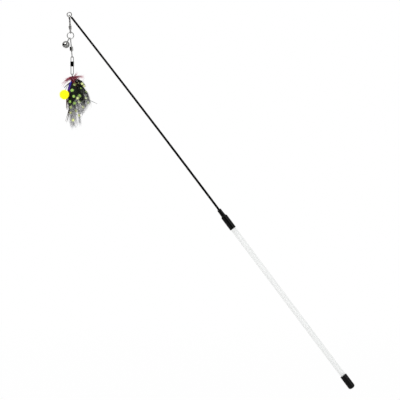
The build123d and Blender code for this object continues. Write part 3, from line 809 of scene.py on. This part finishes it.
lilac_down = soft_grey_down("lilac_grey_down", "#626264", "#B0B0AE", "#D2D2D4")
pale_down = soft_grey_down("pale_marabou_down", "#868684", "#BEBEBA", "#DCDCD8")
for seed, name in enumerate(PLUMES, start=20):
    downy_plume(name, pale_down if name == "grey_fluff" else lilac_down, seed)

# %% [markdown]
# ## Indigo biot, brown strand and stray barb
# A short biot, dyed indigo that turns purple at its tip, lies on the front of the binding. A dark brown strand
# hangs out on the left, and one long stiff barb sticks out on the right. They are made with the same barbs and
# strands, only closer, longer or fewer.

# %% Narrow feathers
BIOT_BARBS = 46
BIOT_LAST = 0.93                 # share of the shaft that carries them
BIOT_OVERS = (1.0, 1.7)          # how many times as far as the blade's left and right edge they reach
BROWN_HAIRS = 26
BROWN_HAIR_R = 0.34              # mm
STRAY_R = 0.6
STRAY_BOW = 1.6


def two_tone_barbs(name, root_code, tip_code, sheen):
    """Dyed barbs that change colour from root to tip along the feather."""
    material, tree = bare_material(name)
    dye = blend(tree, mask(tree, "wisp"), root_code, tip_code)
    lift = ranged(tree, mask(tree, "tone"), target=(0.6, 1.3))
    coat = node(tree, "HueSaturation", {"Color": dye, "Value": lift})
    return coated(material, {"Base Color": coat.outputs[0], "Roughness": 0.5, "Specular IOR Level": 0.25,
                             "Sheen Weight": sheen})


def purple_biot(material):
    """Close-webbed biot: short barbs that overlap into one blade."""
    chance = Random(41)
    name = "purple_feather"
    face = faces[name]
    bm, masks = new_plumage()
    shaft(bm, masks, face, 0.3)
    for index in range(BIOT_BARBS):
        share = BIOT_LAST * index / BIOT_BARBS
        for side, over in zip((-1, 1), BIOT_OVERS):
            reach = half_widths[name] * over * (1.2 + 0.6 * ease(0, 0.4, share)) * chance.uniform(0.95, 1.2)
            barb(bm, masks, face, share, side, reach, 0.6, leave=52, sweep=10, lift=chance.uniform(-0.08, 0.08),
                 curl=chance.uniform(-0.3, 0.1), tone=chance.random(), wisp=ease(0.25, 0.95, share), steps=6)
    piece_of("purple_feather_barbs", bm, material, "indigo_feather", name, thick=BARB_THICK)


def brown_hairs(material):
    """Bundle of long brown hairs that parts towards its end."""
    chance = Random(43)
    place, length = faces["brown_strand"]
    bm, masks = new_plumage()
    for _ in range(BROWN_HAIRS):
        aside = chance.uniform(-1, 1)
        out = chance.uniform(-1.2, 1.2)
        last = chance.uniform(0.72, 1.0)
        fan = chance.uniform(0.1, 0.8)
        strand(bm, masks, lambda share: place(last * share, aside * (0.6 + fan * share ** 2), out * share),
               lambda share: BROWN_HAIR_R * (1 - 0.6 * share) * MM, sides=4, steps=14, tone=chance.random(),
               wisp=chance.random())
    piece_of("brown_strand_hairs", bm, material, "brown_feather", "brown_strand")


def stray_barb(material):
    """Long stiff barb, black near its root and grey where it thins."""
    low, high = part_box("long_barb")
    start = Vector((low.x, (low.y + high.y) / 2, high.z))
    run = Vector((high.x - low.x, 0, low.z - high.z))
    bow = STRAY_BOW * MM
    bm, masks = new_plumage()
    strand(bm, masks, lambda share: start + run * share + Vector((0, 0, bow * sin(pi * share))),
           lambda share: STRAY_R * (1 - 0.7 * share) * MM, sides=6, steps=20, tone=0.5)
    for vert in bm.verts:
        vert[masks["wisp"]] = ease(0.35, 0.8, vert[masks["reach"]])
    piece_of("long_barb_hair", bm, material, "grey_feather", "long_barb")


purple_biot(two_tone_barbs("indigo_dyed_biot", "#1C0494", "#4C0878", 0.1))
brown_hairs(two_tone_barbs("dark_brown_hair", "#1A100C", "#46301F", 0.05))
stray_barb(two_tone_barbs("black_quill_barb", "#0A0B0C", "#7A7C7E", 0.0))

# %% [markdown]
# ## Hackle and binding
# A collar of crimson cock hackle is tied in at the top of the lure, over a maroon thread binding. The hackle is
# stiff near the thread, and its ends droop and fade to pink. The umbrella tips up to the right, as it does in the
# photograph: a few barbs stand up there, and a skirt hangs over the front of the binding, darkened with painted
# shade from the umbrella and kept from fading to pink. The binding is thread wound round a core: a small ring is
# spun into a helix, one turn beside the next.

# %% Crimson hackle
HACKLE_TILT = radians(14)
hackle_up = Vector((-sin(HACKLE_TILT), 0, cos(HACKLE_TILT)))
hackle_right = Vector((cos(HACKLE_TILT), 0, sin(HACKLE_TILT)))
COLLAR_R = 1.9                   # mm
COLLAR_DROP = 1.0                # mm from the top of the binding to the collar's middle
COLLAR_HALF = 0.7                # mm, half its height
HACKLE_R = 0.26                  # mm
HACKLE_SWAY = 1.5                # mm that a barb's end may lie aside
SKIRT_PAINTED_SHADE = 0.3                 # share of its tone and of the fading to pink that the skirt keeps, as painted shade under the umbrella

# count, first and last turn from the front to the right in degrees, length in mm, slope at the collar in degrees
# above the umbrella's plane, and how far a barb bends down for its length
HACKLE_LAYERS = {
    "tuft": (90, -180, 180, (2.5, 5.0), (-60, 40), (0.0, 0.3)),
    "collar": (56, -180, 180, (6, 11), (-40, 10), (0.05, 0.4)),
    "long_left": (10, -115, -65, (11, 16), (-20, -2), (0.15, 0.4)),
    "long_right": (12, 65, 115, (12, 16), (-4, 10), (0.2, 0.45)),
    "raised": (10, 60, 110, (6, 10), (25, 58), (0.0, 0.1)),
    "skirt": (34, 0, 52, (11, 16), (-66, -52), (0.0, 0.05)),
}


def dyed_hackle():
    """Dyed cock hackle: dark crimson at the thread, rose along the barb and pale pink where it thins."""
    material, tree = bare_material("crimson_cock_hackle")
    tone = mask(tree, "tone")
    near = blend(tree, tone, "#5E0014", "#A81040")
    far = blend(tree, tone, "#B83A5E", "#EBAABA")
    fade = ranged(tree, mask(tree, "reach"), (0.4, 1.0))
    return coated(material, {"Base Color": blend(tree, fade, near, far), "Roughness": 0.45,
                             "Specular IOR Level": 0.3, "Sheen Weight": 0.1})


def crimson_hackle(material):
    """Umbrella of drooping hackle barbs round the top of the binding."""
    chance = Random(51)
    bm, masks = new_plumage()
    collar = binding_top - Vector((0, 0, COLLAR_DROP)) * MM
    for layer, (count, first, last, lengths, slopes, bends) in HACKLE_LAYERS.items():
        for index in range(count):
            turn = radians(first + (last - first) * (index + chance.random()) / count)
            out = hackle_right * sin(turn) + towards_camera * cos(turn)
            flat = Vector((out.x, out.y, 0)).normalized()
            root = collar + (flat * COLLAR_R + Vector((0, 0, chance.uniform(-COLLAR_HALF, COLLAR_HALF)))) * MM
            slope = radians(chance.uniform(*slopes))
            leave = out * cos(slope) + hackle_up * sin(slope)
            length = chance.uniform(*lengths)
            bend = chance.uniform(*bends)
            aside = hackle_up.cross(out) * chance.uniform(-HACKLE_SWAY, HACKLE_SWAY)
            # painted shade: the skirt under the umbrella stays dark crimson, with no pink
            fade = SKIRT_PAINTED_SHADE if layer == "skirt" else 1.0
            strand(bm, masks,
                   lambda share: root + (leave * length * share - hackle_up * length * bend * share ** 2
                                         + aside * share ** 2) * MM,
                   lambda share: HACKLE_R * (1 - 0.8 * share) * MM, sides=4, steps=9,
                   tone=fade * chance.random(), reach=fade)
    piece_of("crimson_hackle_barbs", bm, material, "crimson_hackle", "red_hackle")


crimson_hackle(dyed_hackle())

# %% Thread binding
THREAD_R = 0.24                  # mm
WIND_STEPS = 20                  # facets in one turn
CORE_HEIGHT = 0.96               # of the binding's height


def waxed_thread():
    """Waxed maroon thread: tight turns with a dull shine and dark valleys."""
    material, tree = bare_material("waxed_maroon_thread")
    fibre = noise(tree, node(tree, "TexCoord").outputs["Object"], 1 / (0.25 * MM), 3.0)
    return coated(material, {"Base Color": blend(tree, fibre, "#3A000C", "#7C0A26"), "Roughness": 0.45,
                             "Normal": relief(tree, fibre, 0.3, 0.06 * MM)})


def wound_binding(material):
    """Helix of thread over a core that fills the CAD cylinder."""
    bm, masks = new_plumage()
    size = binding_high - binding_low
    wind_r = size.x / 2 - THREAD_R * MM
    turns = int((size.z / MM - 2 * THREAD_R) / (2 * THREAD_R))
    start = Vector((binding_foot.x + wind_r, binding_foot.y, binding_low.z + THREAD_R * MM))
    ring = bmesh.ops.create_circle(bm, cap_ends=True, segments=8, radius=THREAD_R * MM,
                                   matrix=Matrix.Translation(start) @ Matrix.Rotation(radians(90), 4, "X"))
    geometry = ring["verts"] + list(bm.edges) + list(bm.faces)
    climb = Vector((0, 0, 2 * THREAD_R * MM / WIND_STEPS))
    bmesh.ops.spin(bm, geom=geometry, cent=binding_foot, axis=(0, 0, 1), dvec=climb, angle=2 * pi * turns,
                   steps=turns * WIND_STEPS)
    bmesh.ops.create_cone(bm, cap_ends=True, segments=32, radius1=wind_r, radius2=wind_r,
                          depth=size.z * CORE_HEIGHT, matrix=Matrix.Translation((binding_foot + binding_top) / 2))
    piece_of("thread_binding", bm, material, "maroon_thread", "lure_binding")
    print("Binding:", turns, "turns of thread")


wound_binding(waxed_thread())

# %% [markdown]
# ## Pom-pom and its stem
# The pom-pom is yarn tied at the middle, fluffed out and clipped to a ball, so it is made as thousands of short
# strands that start in a core and end near one radius. A bumpy ball would look like felt. Its stem is a bare black
# quill that springs from the binding in a slight bow.

# %% Lemon pom-pom
YARN_STRANDS = 3400
YARN_R = 0.15                    # mm
CORE_SHARE = 0.88                # of the ball's radius
YARN_START = 0.75                # share of its end's radius at which a strand starts, inside the core
YARN_ENDS = (0.95, 1.03)         # of the ball's radius
YARN_BEND = 0.1                  # of the ball's radius, at a strand's end
STEM_BOW = (-1.6, 0, 1.2)        # mm
STEM_END = 0.9                   # share of the way to the pom-pom's middle
SPUR_PIXEL = (64.2, 88.3)        # where the spur ends in the photograph
SPUR_BOW = 0.8                   # mm
SPUR_R = 0.65
pompom_low, pompom_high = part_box("pompom")
pompom_at = (pompom_low + pompom_high) / 2
pompom_r = (pompom_high.x - pompom_low.x) / 2


def lemon_yarn():
    """Soft, matt acrylic yarn with a painted glow: brighter than the light on it, so the gaps stay yellow."""
    material, tree = bare_material("lemon_yarn_painted_glow")
    tip = blend(tree, mask(tree, "tone"), "#FFF612", "#FFFF40")
    # painted shade: the strands turn a deeper yellow towards the core, where shade falls among them
    depth = ranged(tree, mask(tree, "reach"), (0.2, 0.8))
    coat = blend(tree, depth, "#EBD400", tip)
    # painted glow: the yarn gives off light in its own colour, so the gaps between strands stay yellow instead of
    # shaded
    return coated(material, {"Base Color": coat, "Roughness": 0.8, "Specular IOR Level": 0.1,
                             "Emission Color": coat, "Emission Strength": 0.3})


def lemon_pompom(material):
    """Ball of clipped yarn strands round a core."""
    chance = Random(61)
    bm, masks = new_plumage()
    core = bmesh.ops.create_icosphere(bm, subdivisions=4, radius=pompom_r * CORE_SHARE,
                                      matrix=Matrix.Translation(pompom_at))
    # the core takes half of the painted shade towards the middle
    for vert in core["verts"]:
        vert[masks["reach"]] = 0.5
        vert[masks["tone"]] = 0.5
    golden = pi * (3 - sqrt(5))
    for index in range(YARN_STRANDS):
        height = 1 - 2 * (index + 0.5) / YARN_STRANDS
        turn = golden * index
        ring = sqrt(1 - height * height)
        out = Vector((ring * cos(turn), ring * sin(turn), height))
        bend = Vector((chance.uniform(-1, 1), chance.uniform(-1, 1), chance.uniform(-1, 1))) * pompom_r * YARN_BEND
        end = pompom_r * chance.uniform(*YARN_ENDS)
        strand(bm, masks,
               lambda share: pompom_at + out * end * (YARN_START + (1 - YARN_START) * share) + bend * share * share,
               lambda share: YARN_R * (1 - 0.35 * share) * MM, sides=3, steps=4, tone=chance.random())
    piece_of("pompom_yarn", bm, material, "yellow_wool", "pompom")


def quill_stem(material):
    """Bare quill from the binding to the pom-pom, slightly bowed, with a stiff spur beside it."""
    low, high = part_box("pompom_stem")
    start = Vector((high.x, high.y, high.z))
    reach = (pompom_at - start) * STEM_END
    bow = Vector(STEM_BOW) * MM
    spur = at_pixel(*SPUR_PIXEL, (low.y + high.y) / 2) - start
    spur_bow = Vector((0, 0, SPUR_BOW * MM))
    bm, masks = new_plumage()
    strand(bm, masks, lambda share: start + reach * share + bow * sin(pi * share),
           lambda share: (0.4 - 0.14 * share) * MM, sides=6, steps=14, tone=0.1, wisp=0.1)
    strand(bm, masks, lambda share: start + spur * share + spur_bow * sin(pi * share),
           lambda share: SPUR_R * (1 - 0.5 * share) * MM, sides=6, steps=14, tone=0.1, wisp=0.4)
    piece_of("pompom_quill", bm, material, "black_quill", "pompom_stem")


lemon_pompom(lemon_yarn())
quill_stem(two_tone_barbs("black_bare_quill", "#08080A", "#2A282C", 0.0))

# %% [markdown]
# ## Glitter in the handle
# Small foil flakes lie against the inside of the clear tube and show as dark or bright specks. Each is a thin
# six-sided plate. They could be painted on the tube as noise, but then they'd slide over the surface instead of
# lying behind it.

# %% Foil flakes
FLAKES = 56
FLAKE_SIZES = (0.16, 0.36)       # mm, corner radius
TUBE_BORE_R = 2.4
FLAKE_THICK = 0.05
FLAKE_SINK = 0.08                # share of its size that a flat flake lies deeper in the round bore
FLAKE_GAP = 0.05
FLAKE_TILT = 0.12                # radians
CAP_COVER = 0.45                 # share of the cap's diagonal at which the flakes start
FERRULE_COVER = 20               # mm before the ferrule's middle where the flakes stop


def foil():
    """Aluminised film: mirror-bright flakes, some of them tinted."""
    material, tree = bare_material("aluminised_glitter_film")
    tint = blend(tree, mask(tree, "tone"), "#B9BCC0", "#D8CFE0")
    return coated(material, {"Base Color": tint, "Metallic": 1.0, "Roughness": 0.22})


def glitter(material):
    """Flakes scattered over the inner wall of the tube, between the cap and the ferrule."""
    chance = Random(71)
    bm, masks = new_plumage()
    first = (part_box("end_cap")[1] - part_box("end_cap")[0]).length * CAP_COVER
    last = (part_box("ferrule")[0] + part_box("ferrule")[1]).length / 2 - FERRULE_COVER * MM
    for _ in range(FLAKES):
        station = chance.uniform(first, last)
        turn = chance.uniform(-pi, pi)
        out = wand_across * cos(turn) + Vector((0, 1, 0)) * sin(turn)
        size = chance.uniform(*FLAKE_SIZES)
        seat = wand_along * station + out * (TUBE_BORE_R - FLAKE_THICK - FLAKE_SINK * size - FLAKE_GAP) * MM
        tilt = Matrix.Rotation(chance.uniform(-FLAKE_TILT, FLAKE_TILT), 4, "X")
        tilt = tilt @ Matrix.Rotation(chance.uniform(0, pi), 4, "Z")
        facing = out.to_track_quat("Z", "Y").to_matrix().to_4x4()
        flake = bmesh.ops.create_cone(bm, cap_ends=True, segments=6, radius1=size * MM, radius2=size * MM,
                                      depth=FLAKE_THICK * MM, matrix=Matrix.Translation(seat) @ facing @ tilt)
        shade = chance.random()
        for vert in flake["verts"]:
            vert[masks["tone"]] = shade
    piece_of("handle_glitter", bm, material, "clear_acrylic", body="wand")


glitter(foil())
